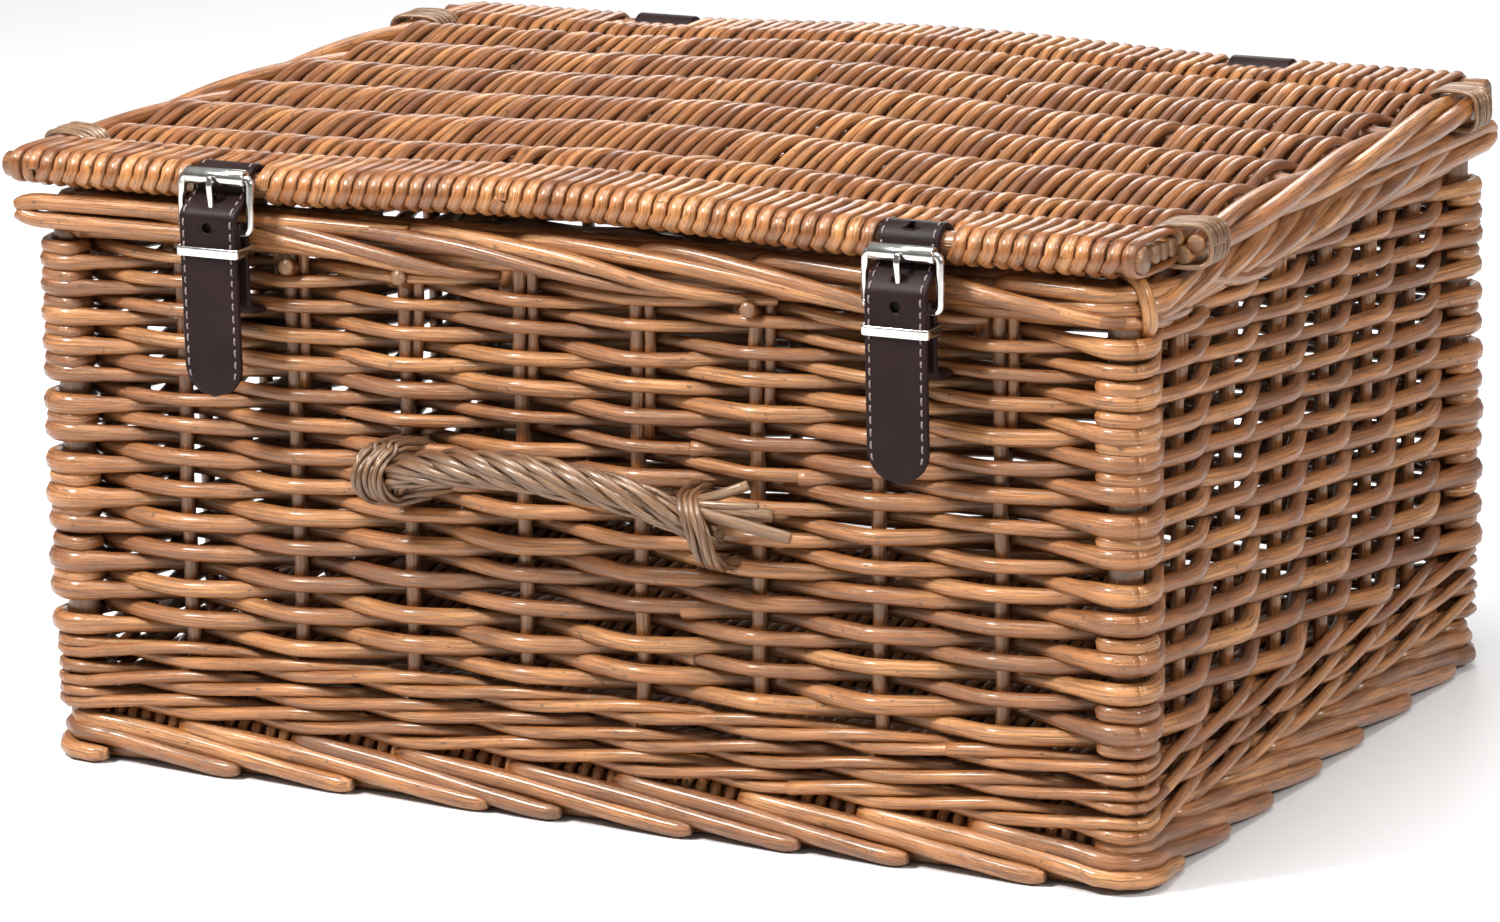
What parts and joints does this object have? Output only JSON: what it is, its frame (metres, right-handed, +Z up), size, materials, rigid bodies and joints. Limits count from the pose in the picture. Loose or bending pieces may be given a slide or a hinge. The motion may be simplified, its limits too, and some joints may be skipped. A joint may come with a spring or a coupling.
{
  "type": "picnic basket",
  "caption": "Rectangular willow picnic hamper with a hinged woven lid, leather straps with roller buckles, leather hinge loops and a twisted rope handle on the front.",
  "frame": {"origin": "centre of the whole object's box, on the floor plane", "axes": "+Z up, -Y is the front with the straps and the handle, +X along the front towards the right-hand strap"},
  "size_m": [0.4742, 0.382, 0.2392],
  "materials": {
    "willow": "varnished buff willow rods, red-brown",
    "willow_dark": "varnished willow rods, darker brown",
    "willow_pale": "split willow skein, straw brown, satin",
    "leather": "dark chocolate leather, stitched edges, satin",
    "nickel": "bright nickel plate"
  },
  "bodies": {
    "basket": {"base_weave": "willow", "base_sticks": "willow_dark", "foot_border": "willow_dark", "upsett_band": "willow_dark", "post_front_left": "willow_dark", "post_front_right": "willow_dark", "post_back_left": "willow_dark", "post_back_right": "willow_dark", "stakes_front": "willow_dark", "stakes_back": "willow_dark", "stakes_left": "willow_dark", "stakes_right": "willow_dark", "weave_front": "willow", "weave_back": "willow", "weave_left": "willow", "weave_right": "willow", "top_border_front": "willow_dark", "top_border_back": "willow_dark", "top_border_left": "willow_dark", "top_border_right": "willow_dark", "hinge_rod": "willow_dark", "buckle_strap_left": "leather", "buckle_strap_right": "leather", "handle_eyes": "willow_pale"},
    "lid": {"lid_weave": "willow", "lid_sticks": "willow_dark", "lid_front_rods": "willow_dark", "lid_back_rods": "willow_dark", "lid_side_rods_left": "willow", "lid_side_rods_right": "willow", "lid_lashings": "willow_pale", "hinge_loop_left": "leather", "hinge_loop_right": "leather"},
    "lid_strap_left": {"lid_strap_left": "leather"},
    "lid_strap_right": {"lid_strap_right": "leather"},
    "buckle_frame_left": {"buckle_frame_left": "nickel"},
    "buckle_frame_right": {"buckle_frame_right": "nickel"},
    "buckle_roller_left": {"buckle_roller_left": "nickel"},
    "buckle_roller_right": {"buckle_roller_right": "nickel"},
    "buckle_prong_left": {"buckle_prong_left": "nickel"},
    "buckle_prong_right": {"buckle_prong_right": "nickel"},
    "keeper_left": {"keeper_left": "nickel"},
    "keeper_right": {"keeper_right": "nickel"},
    "handle": {"rope_handle": "willow_pale"}
  },
  "joints": [
    {"name": "lid_hinge", "type": "hinge", "parent": "basket", "child": "lid", "pos_m": [0, 0.18431, 0.216], "axis": [-1, 0, 0], "range_deg": [0, 105], "deforming": ["lid_strap_left", "lid_strap_right"]},
    {"name": "lid_strap_left_swing", "type": "hinge", "parent": "lid", "child": "lid_strap_left", "pos_m": [-0.14003, -0.15969, 0.2315], "axis": [-1, 0, 0], "range_deg": [0, 120]},
    {"name": "buckle_left_tilt", "type": "hinge", "parent": "basket", "child": "buckle_frame_left", "pos_m": [-0.14003, -0.17139, 0.2155], "axis": [1, 0, 0], "range_deg": [0, 50]},
    {"name": "prong_left_lift", "type": "hinge", "parent": "buckle_frame_left", "child": "buckle_prong_left", "pos_m": [-0.14003, -0.17139, 0.2155], "axis": [1, 0, 0], "range_deg": [0, 40]},
    {"name": "roller_left_spin", "type": "hinge", "parent": "buckle_frame_left", "child": "buckle_roller_left", "pos_m": [-0.14003, -0.1702, 0.2355], "axis": [1, 0, 0], "continuous": true},
    {"name": "keeper_left_slide", "type": "slide", "parent": "basket", "child": "keeper_left", "axis": [0, 0, 1], "range_m": [-0.006, 0]},
    {"name": "lid_strap_right_swing", "type": "hinge", "parent": "lid", "child": "lid_strap_right", "pos_m": [0.14003, -0.15969, 0.2315], "axis": [-1, 0, 0], "range_deg": [0, 120]},
    {"name": "buckle_right_tilt", "type": "hinge", "parent": "basket", "child": "buckle_frame_right", "pos_m": [0.14003, -0.17139, 0.2095], "axis": [1, 0, 0], "range_deg": [0, 50]},
    {"name": "prong_right_lift", "type": "hinge", "parent": "buckle_frame_right", "child": "buckle_prong_right", "pos_m": [0.14003, -0.17139, 0.2095], "axis": [1, 0, 0], "range_deg": [0, 40]},
    {"name": "roller_right_spin", "type": "hinge", "parent": "buckle_frame_right", "child": "buckle_roller_right", "pos_m": [0.14003, -0.17094, 0.2295], "axis": [1, 0, 0], "continuous": true},
    {"name": "keeper_right_slide", "type": "slide", "parent": "basket", "child": "keeper_right", "axis": [0, 0, 1], "range_m": [-0.006, 0]},
    {"name": "handle_swing", "type": "hinge", "parent": "basket", "child": "handle", "pos_m": [-0.006, -0.17051, 0.124], "axis": [0.9973, 0, -0.0733], "range_deg": [0, 100]}
  ]
}
